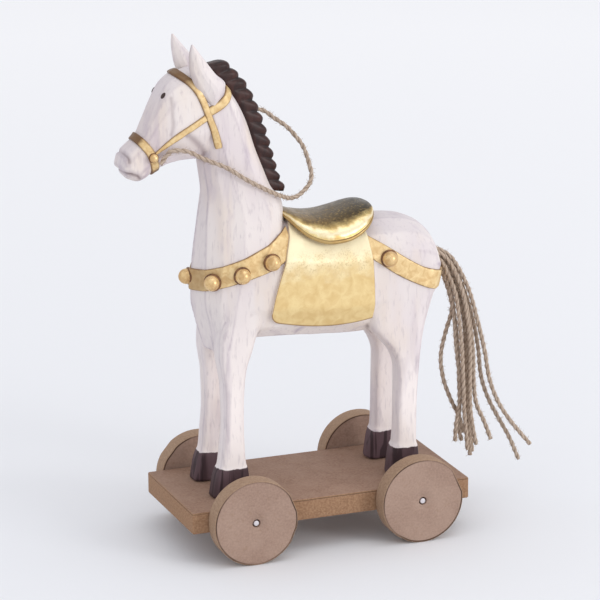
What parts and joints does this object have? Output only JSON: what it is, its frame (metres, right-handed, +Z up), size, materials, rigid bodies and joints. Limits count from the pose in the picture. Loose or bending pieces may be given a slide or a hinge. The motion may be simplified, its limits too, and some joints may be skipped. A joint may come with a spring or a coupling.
{
  "type": "wooden horse on wheels",
  "caption": "Carved whitewashed wooden horse with gilded saddle and harness, jute tail and reins, standing on a board with turning disc wheels.",
  "frame": {"origin": "on the ground, under the middle of the length and width of the horse and its board, twine left out", "axes": "+X the way the horse faces and rolls, +Y the horse's left, +Z up"},
  "size_m": [0.2399, 0.0978, 0.2778],
  "materials": {
    "whitewashed_wood": "thin matte whitewash, rubbed back along the grain, with a gilded harness and a brown mane painted on",
    "board_fibreboard": "bare fibreboard, matte, warm brown",
    "wheel_fibreboard": "bare fibreboard, matte, with a scorched rim",
    "pin_steel": "bright cut end",
    "gilded_wood": "satin gold paint",
    "jute_twine": "rough two-ply jute"
  },
  "bodies": {
    "horse_and_board": {"platform": "board_fibreboard", "horse": "whitewashed_wood", "axle_pin_front_left": "pin_steel", "axle_pin_front_right": "pin_steel", "axle_pin_rear_left": "pin_steel", "axle_pin_rear_right": "pin_steel", "breast_stud_front": "gilded_wood", "breast_stud_corner_left": "gilded_wood", "breast_stud_corner_right": "gilded_wood", "breast_stud_shoulder_left": "gilded_wood", "breast_stud_shoulder_right": "gilded_wood", "breast_stud_saddle_left": "gilded_wood", "rump_stud_left": "gilded_wood", "rump_stud_right": "gilded_wood", "bit_stud_left": "gilded_wood", "bit_stud_right": "gilded_wood", "tail_strand_01": "jute_twine", "tail_strand_02": "jute_twine", "tail_strand_03": "jute_twine", "tail_strand_04": "jute_twine", "tail_strand_05": "jute_twine", "tail_strand_06": "jute_twine", "tail_strand_07": "jute_twine", "tail_strand_08": "jute_twine", "tail_strand_09": "jute_twine", "tail_strand_10": "jute_twine", "reins": "jute_twine"},
    "wheel_front_left": {"wheel_front_left": "wheel_fibreboard"},
    "wheel_front_right": {"wheel_front_right": "wheel_fibreboard"},
    "wheel_rear_left": {"wheel_rear_left": "wheel_fibreboard"},
    "wheel_rear_right": {"wheel_rear_right": "wheel_fibreboard"}
  },
  "joints": [
    {"name": "wheel_front_left_spin", "type": "hinge", "parent": "horse_and_board", "child": "wheel_front_left", "pos_m": [0.0347, 0.04365, 0.0235], "axis": [0, 1, 0], "continuous": true},
    {"name": "wheel_front_right_spin", "type": "hinge", "parent": "horse_and_board", "child": "wheel_front_right", "pos_m": [0.0347, -0.04365, 0.0235], "axis": [0, 1, 0], "continuous": true},
    {"name": "wheel_rear_left_spin", "type": "hinge", "parent": "horse_and_board", "child": "wheel_rear_left", "pos_m": [-0.0613, 0.04365, 0.0235], "axis": [0, 1, 0], "continuous": true},
    {"name": "wheel_rear_right_spin", "type": "hinge", "parent": "horse_and_board", "child": "wheel_rear_right", "pos_m": [-0.0613, -0.04365, 0.0235], "axis": [0, 1, 0], "continuous": true}
  ]
}
